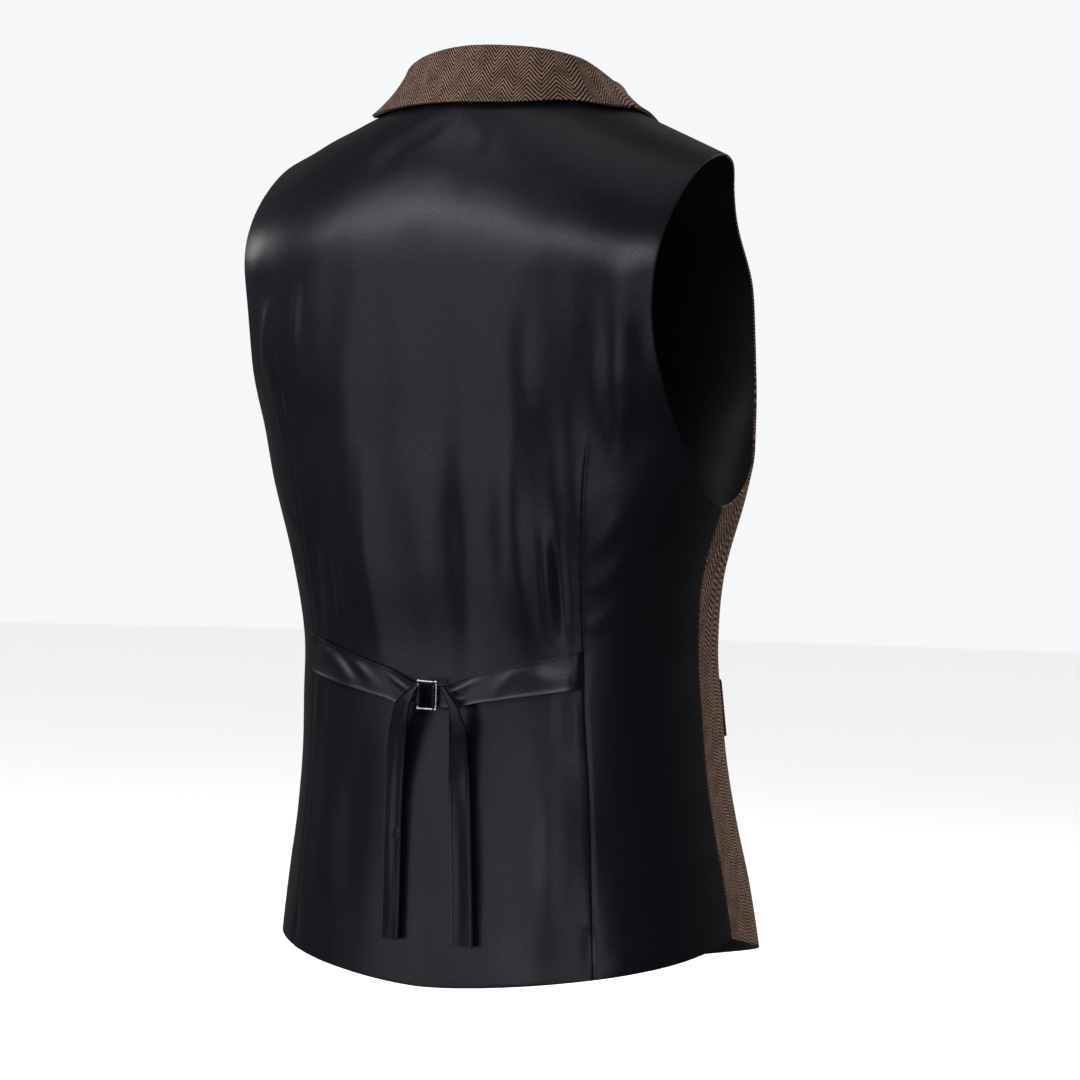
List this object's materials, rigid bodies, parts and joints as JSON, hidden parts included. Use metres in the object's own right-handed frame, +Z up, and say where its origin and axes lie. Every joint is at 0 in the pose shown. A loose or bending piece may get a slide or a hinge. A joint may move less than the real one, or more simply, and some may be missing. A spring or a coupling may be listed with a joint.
{
  "type": "suit waistcoat",
  "caption": "Man's suit waistcoat in its worn, hollow form: satin back with cinch strap and wire buckle, herringbone tweed fronts, notched collar, lapels, pocket flaps and buttons.",
  "frame": {"origin": "midway between the two points where the neckline meets the shoulder seams, which is where the wearer's shoulders hold the waistcoat up", "axes": "+Z up along the wearer's height, the wearer faces -Y so the back is towards +Y, the wearer's left is +X"},
  "size_m": [0.3352, 0.2805, 0.6274],
  "materials": {
    "satin": "black satin weave, soft sheen",
    "tweed": "brown and tan herringbone tweed, matt and slightly hairy",
    "button": "dark brown, horn-like, polished rim",
    "buckle_metal": "dark nickel wire, polished"
  },
  "bodies": {
    "root": {"back": "satin", "front_left": "tweed", "front_right": "tweed", "collar": "tweed", "lapel_left": "tweed", "lapel_right": "tweed", "flap_left": "tweed", "flap_right": "tweed", "button_1": "button", "button_2": "button", "button_3": "button", "button_4": "button", "button_5": "button", "strap_left": "satin", "strap_right": "satin", "tail_left": "satin", "tail_right": "satin", "buckle": "buckle_metal"}
  },
  "joints": []
}
